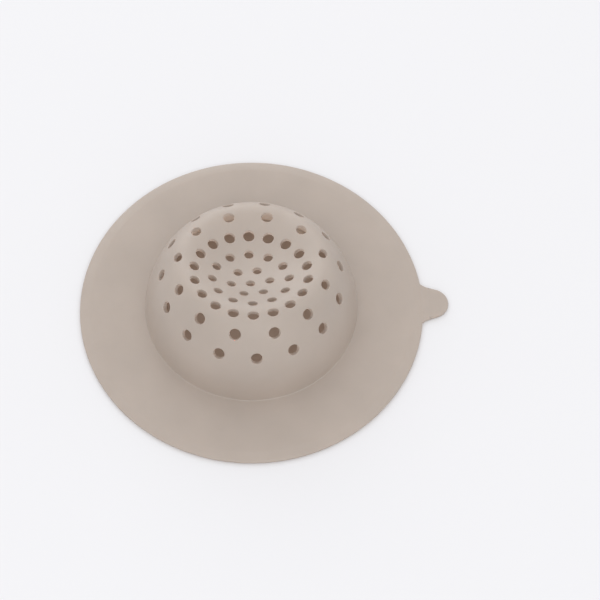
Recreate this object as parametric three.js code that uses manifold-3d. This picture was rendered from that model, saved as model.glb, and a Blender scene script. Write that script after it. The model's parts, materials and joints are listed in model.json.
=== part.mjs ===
// A soft moulded sink strainer: a flat sealing brim, a perforated dome and a pull tab.
// The crown of the dome is pressed in at a lean, the way a thumb turns it over to empty it.
// The moulding is parted along its flex lines, so that each region that moves is a solid.
// Millimetres, +Z up. The brim's underside rests on z = 0 and the pull tab points along +X.
import * as THREE from "three";
import { mergeVertices } from "three/addons/utils/BufferGeometryUtils.js";
import Module from "manifold-3d";

const wasm = await Module();
wasm.setup();

// Brim: a flange with a flat underside that thins from the wall's thickness outwards, then rises
// to a low round bead along the rim.
const rimRadius = 57.5;
const rimThickness = 1.7;
const beadWidth = 4.3;
const flangeThickness = 1.3;
const wall = 1.5;

// Dome: nearly half of a hollow sphere whose centre lies just below the resting face.
const domeRadius = 35.5;
const domeCentreDrop = 0.3;
const footFillet = 1;

// Press: the crown is turned over along an axis that leans away from upright, into the mirror
// image of itself. A round ridge is left at an angle from that axis, and the surface turns over
// within a band each side of the ridge, measured along the axis.
const pressLean = THREE.MathUtils.degToRad(11);
const pressTurn = THREE.MathUtils.degToRad(83.1);
const ridgeTilt = THREE.MathUtils.degToRad(38.9);
const ridgeBand = 6.4;

// The gap that keeps two regions apart along a flex line.
const flexGap = 0.3;

// Pull tab: straight sides that run in from the rim to a broad round tip.
const tabReach = 8.5;
const tabRootWidth = 13.6;
const tabTipRadius = 5.4;
const tabThickness = 1.1;
const tabEdgeRound = 0.3;
const tabHingeOffset = 2.2;
const tabLift = 0.1;

// Drain holes, in rows round the upright axis of the free dome, in degrees. Tilt is measured
// down from the top of the dome, and turn is where the first hole lies from the tab.
const holeRows = [
  { count: 15, tilt: 56.4, turn: 8.3, diameter: 3.8 },
  { count: 12, tilt: 43.7, turn: 16.6, diameter: 3.8 },
  { count: 18, tilt: 31.5, turn: 11, diameter: 3.7 },
  { count: 12, tilt: 20.5, turn: 1.5, diameter: 3.1 },
  { count: 6, tilt: 10.3, turn: 9, diameter: 2.9 },
  { count: 1, tilt: 0, turn: 0, diameter: 2.9 },
];

// Facets round each kind of surface.
const brimSegments = 60;
const domeSegments = 40;
const ringSegments = 36;
const holeSegments = 10;
const arcSteps = 3;

// The sphere, the ridge and the press axis.
const up = new THREE.Vector3(0, 0, 1);
const innerRadius = domeRadius - wall;
const ridgeHeight = domeRadius * Math.cos(ridgeTilt);
const ridgeRadius = domeRadius * Math.sin(ridgeTilt);
const pressTilt = Math.acos((ridgeHeight - ridgeBand) / domeRadius);
const pressRadius = domeRadius * Math.sin(pressTilt);
const pressAxis = new THREE.Vector3(
  Math.sin(pressLean) * Math.cos(pressTurn),
  Math.sin(pressLean) * Math.sin(pressTurn),
  Math.cos(pressLean),
);
// The other flex lines are circles about the press axis, midway between two rows of holes.
const midway = (row) => THREE.MathUtils.degToRad((holeRows[row].tilt + holeRows[row + 1].tilt) / 2);
const pitRadius = domeRadius * Math.sin(midway(2));
const crownRadius = domeRadius * Math.sin(midway(3));
const lean = new THREE.Quaternion().setFromUnitVectors(up, pressAxis);
const unlean = lean.clone().invert();

// The fillet at the dome's foot touches the brim's top and the outside of the sphere.
const filletHeight = wall + footFillet;
const footElevation = Math.asin((filletHeight + domeCentreDrop) / (domeRadius + footFillet));
const filletX = (domeRadius + footFillet) * Math.cos(footElevation);

const silicone = { color: "#b3a89d", roughness: 0.6, metalness: 0 };

function region(name, geometry) {
  const mesh = new THREE.Mesh(geometry, new THREE.MeshStandardMaterial(silicone));
  mesh.name = name;
  return mesh;
}

function toSolid(geometry) {
  const plain = geometry.clone();
  plain.deleteAttribute("normal");
  plain.deleteAttribute("uv");
  const { attributes, index } = mergeVertices(plain, 1e-4);
  const corners = [];
  for (let i = 0; i < index.count; i += 3) {
    const [a, b, c] = [index.getX(i), index.getX(i + 1), index.getX(i + 2)];
    if (a !== b && b !== c && c !== a) corners.push(a, b, c);
  }
  return new wasm.Manifold(new wasm.Mesh({
    numProp: 3,
    vertProperties: attributes.position.array,
    triVerts: new Uint32Array(corners),
  }));
}

function toGeometry(solid) {
  const { vertProperties, triVerts } = solid.getMesh();
  const geometry = new THREE.BufferGeometry();
  geometry.setAttribute("position", new THREE.BufferAttribute(vertProperties, 3));
  geometry.setIndex(new THREE.BufferAttribute(triVerts, 1));
  geometry.computeVertexNormals();
  return geometry;
}

// Turns a profile of radius and height about the Z axis.
function revolve(points, segments) {
  return new THREE.LatheGeometry(points, segments).rotateX(Math.PI / 2);
}

// The brim's section: flat underside, round rim, a slope down from the bead, a tapering top,
// then an even wall that turns up into the dome's foot.
function brimSection() {
  const rimRound = rimThickness / 2;
  const [flat, upright] = [-Math.PI / 2, footElevation - Math.PI];
  const section = new THREE.Path();
  section.moveTo(filletX, 0);
  section.lineTo(rimRadius - rimRound, 0);
  section.absarc(rimRadius - rimRound, rimRound, rimRound, -Math.PI / 2, Math.PI / 2);
  section.lineTo(rimRadius - beadWidth, flangeThickness);
  section.lineTo(filletX, wall);
  section.absarc(filletX, filletHeight, footFillet, flat, upright, true);
  section.absarc(filletX, filletHeight, footFillet + wall, upright, flat, false);
  return section.getPoints(arcSteps);
}

// The tab's sides leave the rim at its root and touch the tip's circle.
const tipX = rimRadius + tabReach - tabTipRadius;
const rootY = tabRootWidth / 2;
const rootX = Math.sqrt(rimRadius ** 2 - rootY ** 2);
const rootToTip = Math.hypot(tipX - rootX, rootY);
const sideAngle = Math.atan2(rootY, tipX - rootX) - Math.asin(tabTipRadius / rootToTip);
const hingeX = rimRadius + tabHingeOffset;
const hingeZ = tabLift + tabThickness / 2;
const hingeHalfWidth = rootY - (hingeX - rootX) * Math.tan(sideAngle);

// The tab's outline runs a little way into the brim, so that its root joins the rim.
function tabBlank() {
  const anchorX = rootX - rimThickness;
  const tipStart = Math.PI / 2 - sideAngle;
  const outline = new THREE.Shape();
  outline.moveTo(anchorX, rootY);
  outline.lineTo(anchorX, -rootY);
  outline.lineTo(rootX, -rootY);
  outline.absarc(tipX, 0, tabTipRadius, -tipStart, tipStart, false);
  outline.lineTo(rootX, rootY);
  const corners = outline.getPoints(2 * arcSteps)
    .filter((point, i, all) => point.distanceTo(all[(i + 1) % all.length]) > 0.001);
  const blank = new THREE.ExtrudeGeometry(new THREE.Shape(corners), {
    depth: tabThickness - 2 * tabEdgeRound,
    bevelThickness: tabEdgeRound,
    bevelSize: tabEdgeRound,
    bevelOffset: -tabEdgeRound,
    bevelSegments: 2,
  });
  return toSolid(blank.translate(0, 0, tabLift + tabEdgeRound));
}

// A block that keeps what lies outward of x = from, across the whole tab.
function outwardOf(from) {
  const block = new THREE.BoxGeometry(rimRadius, rimRadius, rimRadius);
  return toSolid(block.translate(from + rimRadius / 2, 0, 0));
}

function brim() {
  const tabStop = hingeX - tabThickness / 2 - flexGap;
  const tabRoot = tabBlank().subtract(outwardOf(tabStop));
  return region("brim", toGeometry(toSolid(revolve(brimSection(), brimSegments)).add(tabRoot)));
}

// The tab's root is rounded about its bending line, so that it clears the rim as it lifts.
function pullTab() {
  const rootRound = new THREE.CylinderGeometry(
    tabThickness / 2, tabThickness / 2, 2 * (hingeHalfWidth - tabEdgeRound), holeSegments,
  ).translate(hingeX, 0, hingeZ);
  return region("pull_tab", toGeometry(tabBlank().intersect(outwardOf(hingeX)).add(toSolid(rootRound))));
}

// How far the press lowers a point of the free dome at this height: nothing below the band, and
// twice the height above the ridge past it.
function pressDrop(free) {
  const share = THREE.MathUtils.clamp((free - ridgeHeight + ridgeBand) / (2 * ridgeBand), 0, 1);
  const past = Math.max(0, free - ridgeHeight - ridgeBand);
  return 2 * ridgeBand * (2 * share ** 3 - share ** 4) + 2 * past;
}

// Height of the outer surface above the sphere's centre, at a distance from the press axis.
function pressedHeight(distance) {
  const free = Math.sqrt(domeRadius ** 2 - distance ** 2);
  return free - pressDrop(free);
}

function pressedSlope(distance) {
  const step = 0.01;
  const inner = Math.max(0, distance - step);
  return (pressedHeight(distance + step) - pressedHeight(inner)) / (distance + step - inner);
}

// A region between two flex lines, with sides along the press axis and an even wall.
function pressedSection(innerLine, outerLine, steps) {
  const top = [];
  const bottom = [];
  for (let i = 0; i <= steps; i++) {
    const distance = THREE.MathUtils.lerp(innerLine, outerLine, i / steps);
    const height = pressedHeight(distance);
    top.unshift(new THREE.Vector2(distance, height));
    bottom.push(new THREE.Vector2(distance, height - wall * Math.hypot(1, pressedSlope(distance))));
  }
  const section = [...bottom, ...top];
  if (innerLine > 0) section.push(bottom[0].clone());
  return section;
}

// One drill for each hole, square to the surface where the press has carried it.
function drills() {
  const drillLength = 4 * wall;
  const tools = [];
  for (const { count, tilt, turn, diameter } of holeRows) {
    for (let i = 0; i < count; i++) {
      const azimuth = THREE.MathUtils.degToRad(turn + (360 * i) / count);
      const fromTop = THREE.MathUtils.degToRad(tilt);
      const normal = new THREE.Vector3(
        Math.sin(fromTop) * Math.cos(azimuth), Math.sin(fromTop) * Math.sin(azimuth), Math.cos(fromTop),
      ).applyQuaternion(unlean);
      const centre = normal.clone().multiplyScalar(domeRadius);
      const distance = Math.hypot(centre.x, centre.y);
      if (distance < pressRadius) {
        const slope = pressedSlope(distance);
        centre.z = pressedHeight(distance);
        normal.set(-slope * centre.x / distance, -slope * centre.y / distance, 1).normalize();
      }
      const drill = new THREE.CylinderGeometry(diameter / 2, diameter / 2, drillLength, holeSegments)
        .applyQuaternion(new THREE.Quaternion().setFromUnitVectors(new THREE.Vector3(0, 1, 0), normal))
        .translate(centre.x, centre.y, centre.z);
      tools.push(toSolid(drill));
    }
  }
  return wasm.Manifold.union(tools);
}

const holes = drills();

// The standing part of the dome, from just above its foot to the ridge.
function domeWall() {
  const low = footElevation + flexGap / domeRadius;
  const high = Math.PI / 2 - (pressTilt - pressLean) / 2;
  const section = new THREE.Path();
  section.absarc(0, 0, domeRadius, low, high, false);
  section.absarc(0, 0, innerRadius, high, low, true);
  section.closePath();
  const shell = revolve(section.getPoints(arcSteps + 1), domeSegments).applyQuaternion(unlean);
  const opening = new THREE.CylinderGeometry(pressRadius, pressRadius, 2 * domeRadius, ringSegments)
    .rotateX(Math.PI / 2).translate(0, 0, domeRadius);
  const shoulder = revolve(
    pressedSection(ridgeRadius + flexGap / 2, pressRadius + flexGap, arcSteps + 1), ringSegments,
  );
  const standing = toSolid(shell).subtract(toSolid(opening)).add(toSolid(shoulder));
  return region("dome_wall", toGeometry(standing.subtract(holes)));
}

function pressedRing(name, innerLine, outerLine, steps) {
  const section = pressedSection(innerLine, outerLine, steps);
  return region(name, toGeometry(toSolid(revolve(section, ringSegments)).subtract(holes)));
}

// The dome's regions share a frame at the sphere's centre, with Z along the press axis.
const dome = new THREE.Group();
dome.position.z = -domeCentreDrop;
dome.quaternion.copy(lean);
dome.add(
  domeWall(),
  pressedRing("fold_ring", pitRadius + flexGap / 2, ridgeRadius - flexGap / 2, arcSteps + 1),
  pressedRing("pit_ring", crownRadius + flexGap / 2, pitRadius - flexGap / 2, arcSteps),
  pressedRing("crown", 0, crownRadius - flexGap / 2, arcSteps),
);

// The origin is under the middle of the outline, tab included.
const strainer = new THREE.Group();
strainer.position.x = -tabReach / 2;
strainer.add(brim(), pullTab(), dome);

export default strainer;
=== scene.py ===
import json
import math

import bmesh
import bpy
from mathutils import Matrix, Vector
from mathutils.kdtree import KDTree
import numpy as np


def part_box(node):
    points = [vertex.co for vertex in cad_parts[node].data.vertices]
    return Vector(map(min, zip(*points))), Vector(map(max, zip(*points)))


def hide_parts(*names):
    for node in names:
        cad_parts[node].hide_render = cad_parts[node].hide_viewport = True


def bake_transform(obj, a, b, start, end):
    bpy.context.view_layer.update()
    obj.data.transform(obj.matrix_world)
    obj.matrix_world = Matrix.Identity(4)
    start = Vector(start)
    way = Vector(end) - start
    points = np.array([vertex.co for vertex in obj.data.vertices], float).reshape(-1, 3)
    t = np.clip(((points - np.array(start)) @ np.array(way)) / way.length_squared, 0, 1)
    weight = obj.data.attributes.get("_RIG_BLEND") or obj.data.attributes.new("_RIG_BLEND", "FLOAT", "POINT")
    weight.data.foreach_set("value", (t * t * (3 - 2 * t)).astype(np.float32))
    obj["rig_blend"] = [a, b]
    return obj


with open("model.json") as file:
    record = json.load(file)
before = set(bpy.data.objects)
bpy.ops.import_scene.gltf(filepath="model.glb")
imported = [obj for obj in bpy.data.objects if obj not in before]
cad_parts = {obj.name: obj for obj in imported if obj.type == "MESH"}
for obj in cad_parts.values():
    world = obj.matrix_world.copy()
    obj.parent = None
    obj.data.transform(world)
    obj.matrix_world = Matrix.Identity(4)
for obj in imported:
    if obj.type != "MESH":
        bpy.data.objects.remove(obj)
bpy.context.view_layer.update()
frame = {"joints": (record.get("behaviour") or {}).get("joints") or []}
mm = 0.001
slack = 1e-6  # places closer than this count as one
weld = 1e-7  # points closer than this are merged

# the press direction, the tab's bend line and the dome's upright axis come from the frame
pressJoint = next(j for j in frame["joints"] if j["name"] == "crown_press")
tabJoint = next(j for j in frame["joints"] if j["name"] == "tab_bend")
pressAxis = Vector(pressJoint["axis"]).normalized()
domeLow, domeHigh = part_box("dome_wall")
axisX = (domeLow[0] + domeHigh[0]) / 2
print("frame loaded, dome axis at x =", round(axisX / mm, 3), "mm")


# the moulding: brim, dome and pressed crown in one skin, drawn from the dome's centre

moulding = {
    "rimRadius": 57.5 * mm,
    "flangeThickness": 1.85 * mm,  # where the lip starts
    "rimThickness": 1.15 * mm,
    "lipWidth": 3.9 * mm,
    "lipPower": 1.5,  # above 1, the lip falls slowly first
    "wall": 1.5 * mm,
    "domeRadius": 35.5 * mm,
    "centreDrop": 0.3 * mm,  # sphere centre below the resting face
    "footFillet": 0.4 * mm,
    "ridgeTilt": math.radians(38.9),  # the ridge round the pressed crown, from the press axis
    "ridgeBand": 6.4 * mm,  # how far the turn-over reaches each side of the ridge, along the axis
    "domeDivisions": 7,
    "brimSteps": 240,
    "filletSteps": 5,
    "brimLoops": 6,
    "lipLoops": 10,
    "edgeRound": 0.48 * mm,
    "edgeShare": 0.44,  # most of the thickness that a rounding takes
    "edgeSegments": 3,
    "edgeLand": 0.95 * mm,  # plain strip along the rim that the rounding is cut from
}

holes = {
    "segments": 24,
    "round": 0.2 * mm,
    "land": 0.45 * mm,  # plain ring that the rounding is cut from
    "clear": 0.7 * mm,  # how far past the hole the dome's own points are taken out
    # tilt down from the free dome's top and turn from the tab, in degrees
    "rows": (
        {"count": 15, "tilt": 56.4, "turn": 8.3, "diameter": 3.8 * mm},
        {"count": 12, "tilt": 43.7, "turn": 16.6, "diameter": 3.8 * mm},
        {"count": 18, "tilt": 31.5, "turn": 11, "diameter": 3.7 * mm},
        {"count": 12, "tilt": 20.5, "turn": 1.5, "diameter": 3.1 * mm},
        {"count": 6, "tilt": 10.3, "turn": 9, "diameter": 2.9 * mm},
        {"count": 1, "tilt": 0, "turn": 0, "diameter": 2.9 * mm},
    ),
}

tab = {
    "reach": 8.5 * mm,
    "rootWidth": 13.6 * mm,
    "tipRadius": 5.4 * mm,
    "rootSpan": 5,  # brim steps from the tab's middle to its root corner
    "rootRows": (0.08, 0.2, 0.36, 0.56, 0.78, 1.0),  # shares of the way from the rim to the bend line
    "tipSteps": 20,
    "sideCuts": 2,
    "strip": 0.6 * mm,  # plain strip that the rounding is cut from
    "bendLength": 5 * mm,
}

sphereCentre = Vector((axisX, 0, -moulding["centreDrop"]))
ridgeHeight = moulding["domeRadius"] * math.cos(moulding["ridgeTilt"])
filletHeight = moulding["wall"] + moulding["footFillet"] + moulding["centreDrop"]
filletReach = moulding["domeRadius"] + moulding["footFillet"]
footElevation = math.asin(filletHeight / filletReach)
filletX = filletReach * math.cos(footElevation)
footHeight = moulding["domeRadius"] * math.sin(footElevation)
tabTop = moulding["rimThickness"] + moulding["centreDrop"]

# straight tab sides from the rim to a round tip
hingeX = tabJoint["pos_m"][0] - axisX
rootY = tab["rootWidth"] / 2
rootX = math.sqrt(moulding["rimRadius"] ** 2 - rootY ** 2)
tipX = moulding["rimRadius"] + tab["reach"] - tab["tipRadius"]
rootToTip = math.hypot(tipX - rootX, rootY)
sideAngle = math.atan2(rootY, tipX - rootX) - math.asin(tab["tipRadius"] / rootToTip)
hingeHalf = rootY - (hingeX - rootX) * math.tan(sideAngle)


def topHeight(point):
    # top of the brim and tab above the resting face, from a point about the dome's axis
    reach, lipStart = point.xy.length, moulding["rimRadius"] - moulding["lipWidth"]
    wall, flange, rim = moulding["wall"], moulding["flangeThickness"], moulding["rimThickness"]
    taper = min(max((reach - filletX) / (lipStart - filletX), 0), 1)
    fall = min(max((reach - lipStart) / moulding["lipWidth"], 0), 1)
    return wall + (flange - wall) * taper + (rim - flange) * fall ** moulding["lipPower"]


def pressDrop(height):
    # nothing below the ridge's band, twice the height above the ridge past it
    band = moulding["ridgeBand"]
    share = min(max((height - ridgeHeight + band) / (2 * band), 0), 1)
    return 2 * band * (2 * share ** 3 - share ** 4) + 2 * max(0, height - ridgeHeight - band)


def boundaryAtRadius(bm, radius):
    return [
        e for e in bm.edges
        if e.is_boundary and all(abs(v.co.xy.length - radius) < slack for v in e.verts)
    ]


def edgesOf(verts):
    # each edge once, in order
    return list(dict.fromkeys(e for v in verts for e in v.link_edges))


def punchHole(bm, near, centre, radius):
    # the dome's points round the hole give way to the hole's circle, with a plain ring about it
    inside = [near["verts"][i] for _, i, _ in near["tree"].find_range(centre, radius + holes["clear"])]
    ragged = [v for e in edgesOf(inside) for v in e.verts if v not in inside]
    bmesh.ops.delete(bm, geom=inside, context="VERTS")
    gap = [e for e in edgesOf(ragged) if e.is_boundary]
    place = Matrix.Translation(centre) @ centre.to_track_quat("Z", "Y").to_matrix().to_4x4()
    for reach in (radius + holes["land"], radius):
        ring = bmesh.ops.create_circle(bm, radius=reach, segments=holes["segments"], matrix=place)["verts"]
        for v in ring:
            v.co = v.co.normalized() * moulding["domeRadius"]
        circle = edgesOf(ring)
        bmesh.ops.bridge_loops(bm, edges=gap + circle)
        gap = circle
    return gap


def makeDome(bm):
    bmesh.ops.create_icosphere(bm, subdivisions=moulding["domeDivisions"], radius=moulding["domeRadius"])
    bmesh.ops.bisect_plane(
        bm, geom=bm.verts[:] + bm.edges[:] + bm.faces[:], dist=weld,
        plane_co=(0, 0, footHeight), plane_no=(0, 0, 1), clear_inner=True,
    )
    near = {"tree": KDTree(len(bm.verts)), "verts": bm.verts[:]}
    for i, v in enumerate(near["verts"]):
        near["tree"].insert(v.co, i)
    near["tree"].balance()
    holeEdges = []
    for row in holes["rows"]:
        tilt = math.radians(row["tilt"])
        for i in range(row["count"]):
            turn = math.radians(row["turn"] + 360 * i / row["count"])
            centre = Vector((0, 0, moulding["domeRadius"]))
            centre.rotate(Matrix.Rotation(tilt, 3, "Y"))
            centre.rotate(Matrix.Rotation(turn, 3, "Z"))
            holeEdges += punchHole(bm, near, centre, row["diameter"] / 2)
    return holeEdges


def makeBrim(bm):
    # one section, from the foot's fillet out to the rim, spun round and joined to the dome
    domeVerts = set(bm.verts)
    fillet, steps = moulding["footFillet"], moulding["filletSteps"]
    sweep = math.pi / 2 - footElevation
    first = footElevation - math.pi + sweep / steps
    start = bm.verts.new((
        filletX + fillet * math.cos(first), 0, filletHeight + fillet * math.sin(first),
    ))
    innerRadius = start.co.x
    arc = bmesh.ops.spin(
        bm, geom=[start], cent=(filletX, 0, filletHeight), axis=(0, -1, 0),
        angle=sweep * (steps - 1) / steps, steps=steps - 1,
    )
    last = next(g for g in arc["geom_last"] if isinstance(g, bmesh.types.BMVert))
    rim = moulding["rimRadius"]
    for stop, loops in (
        (rim - moulding["lipWidth"], moulding["brimLoops"]),
        (rim - moulding["edgeLand"], moulding["lipLoops"]),
        (rim, 1),
    ):
        begin = last.co.x
        for i in range(loops):
            last = bmesh.ops.extrude_vert_indiv(bm, verts=[last])["verts"][0]
            last.co.x = begin + (stop - begin) * (i + 1) / loops
    section = [v for v in bm.verts if v not in domeVerts]
    section += edgesOf(section)
    bmesh.ops.spin(
        bm, geom=section, cent=(0, 0, 0), axis=(0, 0, 1),
        angle=2 * math.pi, steps=moulding["brimSteps"], use_merge=True,
    )
    for v in bm.verts:
        if v.co.xy.length > filletX:
            v.co.z = topHeight(v.co) + moulding["centreDrop"]
    foot = [
        e for e in bm.edges
        if e.is_boundary and all(abs(v.co.z - footHeight) < slack for v in e.verts)
    ]
    bmesh.ops.bridge_loops(bm, edges=foot + boundaryAtRadius(bm, innerRadius))


def growRow(bm, edges, place):
    # pulls a new row out of the edges and sets its points by where they lie across it, from -1 to 1
    grown = bmesh.ops.extrude_edge_only(bm, edges=edges)["geom"]
    row = sorted((g for g in grown if isinstance(g, bmesh.types.BMVert)), key=lambda v: v.co.y)
    for i, v in enumerate(row):
        v.co = place(2 * i / (len(row) - 1) - 1)
    members = set(row)
    return [g for g in grown if isinstance(g, bmesh.types.BMEdge) and set(g.verts) <= members]


def makeTabRoot(bm):
    # rows from the rim to the bend line, flared at the rim's side
    span = 2 * math.pi / moulding["brimSteps"] * (tab["rootSpan"] + 0.5)
    edges = [
        e for e in boundaryAtRadius(bm, moulding["rimRadius"])
        if all(abs(math.atan2(v.co.y, v.co.x)) < span for v in e.verts)
    ]
    flare = max(v.co.y for e in edges for v in e.verts) - rootY
    for s in tab["rootRows"]:
        half = rootY + (hingeHalf - rootY) * s + flare * (1 - s) ** 3

        def place(f):
            y = f * half
            return ((1 - s) * math.sqrt(moulding["rimRadius"] ** 2 - y * y) + s * hingeX, y, tabTop)

        edges = growRow(bm, edges, place)
    return edges


def makeTab(bm):
    # the outline filled in, with a strip along it for the rounding and rows across the rest for the bend
    columns = 2 * tab["rootSpan"]
    first = last = bm.verts.new((hingeX, -hingeHalf, tabTop))
    for _ in range(columns):
        last = bmesh.ops.extrude_vert_indiv(bm, verts=[last])["verts"][0]
        last.co.y += 2 * hingeHalf / columns
    tipTurn = math.pi / 2 - sideAngle
    start = bm.verts.new((
        tipX + tab["tipRadius"] * math.cos(tipTurn), -tab["tipRadius"] * math.sin(tipTurn), tabTop,
    ))
    arc = bmesh.ops.spin(
        bm, geom=[start], cent=(tipX, 0, tabTop), axis=(0, 0, 1),
        angle=2 * tipTurn, steps=tab["tipSteps"],
    )
    end = next(g for g in arc["geom_last"] if isinstance(g, bmesh.types.BMVert))
    sides = [
        bmesh.ops.contextual_create(bm, geom=pair)["edges"][0]
        for pair in ([first, start], [last, end])
    ]
    bmesh.ops.subdivide_edges(bm, edges=sides, cuts=tab["sideCuts"])
    sheet = bmesh.ops.contextual_create(bm, geom=bm.edges[:])["faces"]
    strip = bmesh.ops.inset_region(
        bm, faces=sheet, thickness=tab["strip"], use_boundary=True, use_even_offset=True,
    )["faces"]
    inner = next(f for f in bm.faces if f not in strip).verts[:]
    for v in inner:
        if v.co.y > 0 and v.co.x > hingeX + tab["strip"] + slack:
            opposite = Vector((v.co.x, -v.co.y, v.co.z))
            twin = min(inner, key=lambda w: (w.co - opposite).length)
            if twin is not v:
                bmesh.ops.connect_verts(bm, verts=[v, twin])
    return [
        e for e in bm.edges
        if e.is_boundary and all(abs(v.co.x - hingeX) < slack for v in e.verts)
    ]


def startPiece():
    bm = bmesh.new()
    bm.edges.layers.float.new("bevel_weight_edge")
    return bm


def setEdges(bm, seam, holeEdges=()):
    # rounding on the free edges to suit their thickness, none on the line where the two pieces meet
    weight = bm.edges.layers.float["bevel_weight_edge"]
    for e in bm.edges:
        if e.is_boundary:
            middle = (e.verts[0].co + e.verts[1].co) / 2
            e[weight] = min(1, moulding["edgeShare"] * topHeight(middle) / moulding["edgeRound"])
    for e in holeEdges:
        e[weight] = holes["round"] / moulding["edgeRound"]
    for e in seam:
        e[weight] = 0
        e.smooth = False


def addObject(bm, name):
    mesh = bpy.data.meshes.new(name)
    bm.to_mesh(mesh)
    bm.free()
    made = bpy.data.objects.new(name, mesh)
    bpy.context.scene.collection.objects.link(made)
    return made


def finishPiece(bm, name):
    bmesh.ops.remove_doubles(bm, verts=bm.verts[:], dist=weld)
    bmesh.ops.recalc_face_normals(bm, faces=bm.faces[:])
    # an open sheet may come out upside down
    top = max(bm.faces, key=lambda f: f.calc_center_median().z)
    if top.normal.z < 0:
        bmesh.ops.reverse_faces(bm, faces=bm.faces[:])
    for f in bm.faces:
        f.smooth = True
    bmesh.ops.translate(bm, vec=sphereCentre, verts=bm.verts[:])
    return addObject(bm, name)


def wallAt(point):
    place = point - sphereCentre
    return topHeight(place) if place.xy.length > filletX else moulding["wall"]


def addWall(piece):
    group = piece.vertex_groups.new(name="wall")
    for v in piece.data.vertices:
        group.add([v.index], wallAt(v.co) / moulding["flangeThickness"], "REPLACE")
    shell = piece.modifiers.new("wall", "SOLIDIFY")
    shell.thickness = moulding["flangeThickness"]
    shell.offset = -1
    shell.vertex_group = group.name
    rounding = piece.modifiers.new("rounded edges", "BEVEL")
    rounding.limit_method = "WEIGHT"
    rounding.width = moulding["edgeRound"]
    rounding.segments = moulding["edgeSegments"]
    rounding.use_clamp_overlap = False


bm = startPiece()
holeEdges = makeDome(bm)
makeBrim(bm)
setEdges(bm, makeTabRoot(bm), holeEdges)
skin = finishPiece(bm, "strainer_skin")
print("skin", len(skin.data.vertices), "points,", sum(r["count"] for r in holes["rows"]), "holes")

# the crown is pressed in, and each point keeps its own share of the press,
# so the free dome comes back at the limit
drops = [pressDrop((v.co - sphereCentre).dot(pressAxis)) for v in skin.data.vertices]
for v, drop in zip(skin.data.vertices, drops):
    v.co -= pressAxis * drop
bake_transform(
    skin, "brim", "crown",
    start=sphereCentre + pressAxis * (ridgeHeight - moulding["ridgeBand"]),
    end=sphereCentre + pressAxis * moulding["domeRadius"],
)
shares = [drop / pressDrop(moulding["domeRadius"]) for drop in drops]
skin.data.attributes["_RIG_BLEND"].data.foreach_set("value", shares)
addWall(skin)
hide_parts("brim", "dome_wall", "fold_ring", "pit_ring", "crown")

bm = startPiece()
setEdges(bm, makeTab(bm))
pullTab = finishPiece(bm, "pull_tab_skin")
hingeLine = sphereCentre + Vector((hingeX, 0, tabTop))
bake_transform(pullTab, "brim", "pull_tab", start=hingeLine, end=hingeLine + Vector((tab["bendLength"], 0, 0)))
addWall(pullTab)
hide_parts("pull_tab")
print("tab", len(pullTab.data.vertices), "points")


# satin silicone

silicone = {
    "base": (0.428, 0.361, 0.313),
    "cloudLight": 1.04,
    "cloudDark": 0.96,
    "roughnessLow": 0.42,
    "roughnessHigh": 0.52,
    "noiseLow": 0.3,  # the part of a noise that clouds and roughness are spread over
    "noiseHigh": 0.7,
    "cloudNoise": (55, 4, 0.55),  # scale, detail and roughness
    "sheenNoise": (160, 3, 0.5),
    "grainNoise": (2600, 2, 0.5),
    "grainStrength": 0.12,
    "grainDepth": 0.05 * mm,
    "specular": 0.8,
    "subsurface": 0.3,
    "subsurfaceRadius": (1.0, 0.8, 0.65),
    "subsurfaceScale": 1 * mm,
}


def makeSilicone():
    material = bpy.data.materials.new("satin silicone")
    material.use_nodes = True
    nodes, links = material.node_tree.nodes, material.node_tree.links
    shader = nodes["Principled BSDF"]
    place = nodes.new("ShaderNodeTexCoord")

    def noise(scale, detail, rough):
        n = nodes.new("ShaderNodeTexNoise")
        n.inputs["Scale"].default_value = scale
        n.inputs["Detail"].default_value = detail
        n.inputs["Roughness"].default_value = rough
        links.new(place.outputs["Object"], n.inputs["Vector"])
        return n.outputs["Fac"]

    clouds = nodes.new("ShaderNodeValToRGB")
    for stop, position, tone in zip(
        clouds.color_ramp.elements,
        (silicone["noiseLow"], silicone["noiseHigh"]),
        (silicone["cloudDark"], silicone["cloudLight"]),
    ):
        stop.position = position
        stop.color = (*(c * tone for c in silicone["base"]), 1)
    links.new(noise(*silicone["cloudNoise"]), clouds.inputs["Fac"])
    links.new(clouds.outputs["Color"], shader.inputs["Base Color"])

    sheen = nodes.new("ShaderNodeMapRange")
    sheen.inputs["From Min"].default_value = silicone["noiseLow"]
    sheen.inputs["From Max"].default_value = silicone["noiseHigh"]
    sheen.inputs["To Min"].default_value = silicone["roughnessLow"]
    sheen.inputs["To Max"].default_value = silicone["roughnessHigh"]
    links.new(noise(*silicone["sheenNoise"]), sheen.inputs["Value"])
    links.new(sheen.outputs["Result"], shader.inputs["Roughness"])

    grain = nodes.new("ShaderNodeBump")
    grain.inputs["Strength"].default_value = silicone["grainStrength"]
    grain.inputs["Distance"].default_value = silicone["grainDepth"]
    links.new(noise(*silicone["grainNoise"]), grain.inputs["Height"])
    links.new(grain.outputs["Normal"], shader.inputs["Normal"])

    shader.inputs["Specular IOR Level"].default_value = silicone["specular"]
    shader.inputs["Subsurface Weight"].default_value = silicone["subsurface"]
    shader.inputs["Subsurface Radius"].default_value = silicone["subsurfaceRadius"]
    shader.inputs["Subsurface Scale"].default_value = silicone["subsurfaceScale"]
    return material


finish = makeSilicone()
for piece in (skin, pullTab):
    piece.data.materials.append(finish)
print("silicone set")


# floor, card, light and camera

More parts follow.
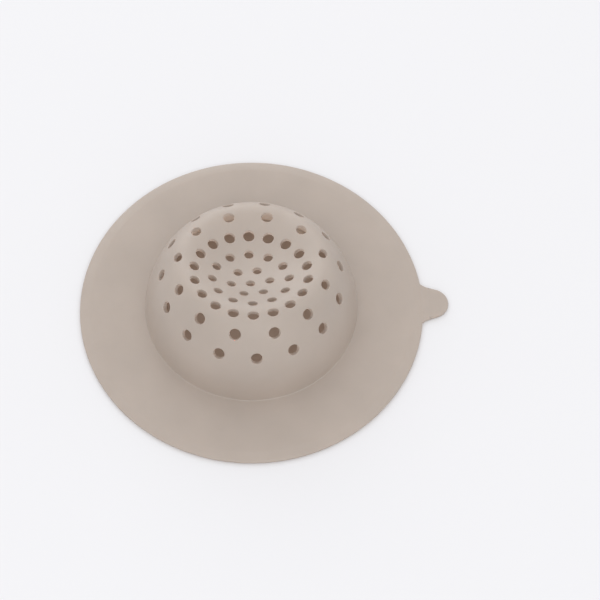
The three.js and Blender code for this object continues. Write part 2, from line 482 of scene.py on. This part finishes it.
studio = {
    "floorSize": 3,
    "floorGap": 0.05 * mm,  # keeps the flat underside off the floor's own plane
    "floor": (0.717, 0.751, 0.794),
    "floorBounce": 0.45,  # how pale the floor is to the light it throws back
    "floorGlow": (0.1, 0.06, 0.035),
    "cardRadius": 33 * mm,  # the card under the dome that throws light up into it
    "cardSegments": 64,
    # painted shade: the card's dark brown tone stands in for the shaded hollow seen through the holes
    "card": (0.5, 0.44, 0.4),
    "cardLight": (1.0, 0.9, 0.82),
    "paperRoughness": 0.9,
    "paperSpecular": 0.1,
    "world": 0.96,
    "lamps": (
        {"name": "back", "place": (-0.25, 1.2, 0.5), "size": 1.2, "power": 3.8},
        {"name": "left", "place": (-1.15, 0.15, 0.35), "size": 0.9, "power": 0.4},
        {"name": "front", "place": (0.1, -1.1, 0.55), "size": 1.4, "power": 2.0},
        {"name": "high", "place": (0.0, -0.7, 1.15), "size": 1.2, "power": 1.4},
    ),
}
camera = {
    "distance": 0.6,
    "azimuth": math.radians(-1),
    "elevation": math.radians(61),
    "aimHeight": 1 * mm,
    "lens": 107.46,
    "sensor": 36,
    "shift": (0.0809, 0.0097),
    "clipStart": 0.01,
}


def makePaper(piece, name):
    material = bpy.data.materials.new(name)
    material.use_nodes = True
    paper = material.node_tree.nodes["Principled BSDF"]
    paper.inputs["Roughness"].default_value = studio["paperRoughness"]
    paper.inputs["Specular IOR Level"].default_value = studio["paperSpecular"]
    piece.data.materials.append(material)
    return material.node_tree.nodes, material.node_tree.links, paper


bm = bmesh.new()
bmesh.ops.create_grid(
    bm, x_segments=1, y_segments=1, size=studio["floorSize"],
    matrix=Matrix.Translation((0, 0, -studio["floorGap"])),
)
floor = addObject(bm, "floor")

# the floor has one tone in the picture and another for the light that it throws back
nodes, links, paper = makePaper(floor, "pale floor")
paper.inputs["Emission Color"].default_value = (*studio["floorGlow"], 1)
rays = nodes.new("ShaderNodeLightPath")
seen = rays.outputs["Is Camera Ray"]
for kind in ("Is Glossy Ray", "Is Transmission Ray"):
    either = nodes.new("ShaderNodeMath")
    either.operation = "MAXIMUM"
    links.new(seen, either.inputs[0])
    links.new(rays.outputs[kind], either.inputs[1])
    seen = either.outputs["Value"]
tone = nodes.new("ShaderNodeMix")
tone.data_type = "RGBA"
tone.inputs["A"].default_value = (*[studio["floorBounce"]] * 3, 1)
tone.inputs["B"].default_value = (*studio["floor"], 1)
links.new(seen, tone.inputs["Factor"])
links.new(tone.outputs["Result"], paper.inputs["Base Color"])
links.new(seen, paper.inputs["Emission Strength"])

bm = bmesh.new()
bmesh.ops.create_circle(
    bm, cap_ends=True, radius=studio["cardRadius"], segments=studio["cardSegments"],
    matrix=Matrix.Translation((axisX, 0, -studio["floorGap"] / 2)),
)
card = addObject(bm, "card")

# the camera sees the card's brown tone, a painted shade for the dark hollow seen through the holes, and only
# what stands round it gets its light
nodes, links, paper = makePaper(card, "card in painted shade")
paper.inputs["Base Color"].default_value = (*studio["card"], 1)
paper.inputs["Emission Color"].default_value = (*studio["cardLight"], 1)
unseen = nodes.new("ShaderNodeMath")
unseen.operation = "SUBTRACT"
unseen.inputs[0].default_value = 1
links.new(nodes.new("ShaderNodeLightPath").outputs["Is Camera Ray"], unseen.inputs[1])
links.new(unseen.outputs["Value"], paper.inputs["Emission Strength"])

world = bpy.data.worlds.new("studio")
bpy.context.scene.world = world
world.use_nodes = True
sky = world.node_tree.nodes["Background"]
sky.inputs["Color"].default_value = (1, 1, 1, 1)
sky.inputs["Strength"].default_value = studio["world"]

for lamp in studio["lamps"]:
    light = bpy.data.lights.new(lamp["name"], "AREA")
    light.shape = "DISK"
    light.size = lamp["size"]
    light.energy = lamp["power"]
    holder = bpy.data.objects.new(lamp["name"], light)
    holder.location = lamp["place"]
    holder.rotation_euler = (-Vector(lamp["place"])).to_track_quat("-Z", "Y").to_euler()
    bpy.context.scene.collection.objects.link(holder)

cam = bpy.data.objects.new("camera", bpy.data.cameras.new("camera"))
cam.data.sensor_width = camera["sensor"]
cam.data.lens = camera["lens"]
cam.data.shift_x, cam.data.shift_y = camera["shift"]
cam.data.clip_start = camera["clipStart"]
back = Vector((
    math.sin(camera["azimuth"]) * math.cos(camera["elevation"]),
    -math.cos(camera["azimuth"]) * math.cos(camera["elevation"]),
    math.sin(camera["elevation"]),
))
cam.location = Vector((axisX, 0, camera["aimHeight"])) + back * camera["distance"]
cam.rotation_euler = (-back).to_track_quat("-Z", "Y").to_euler()
bpy.context.scene.collection.objects.link(cam)
bpy.context.scene.camera = cam
bpy.context.scene.view_settings.view_transform = "Standard"
print("studio set")
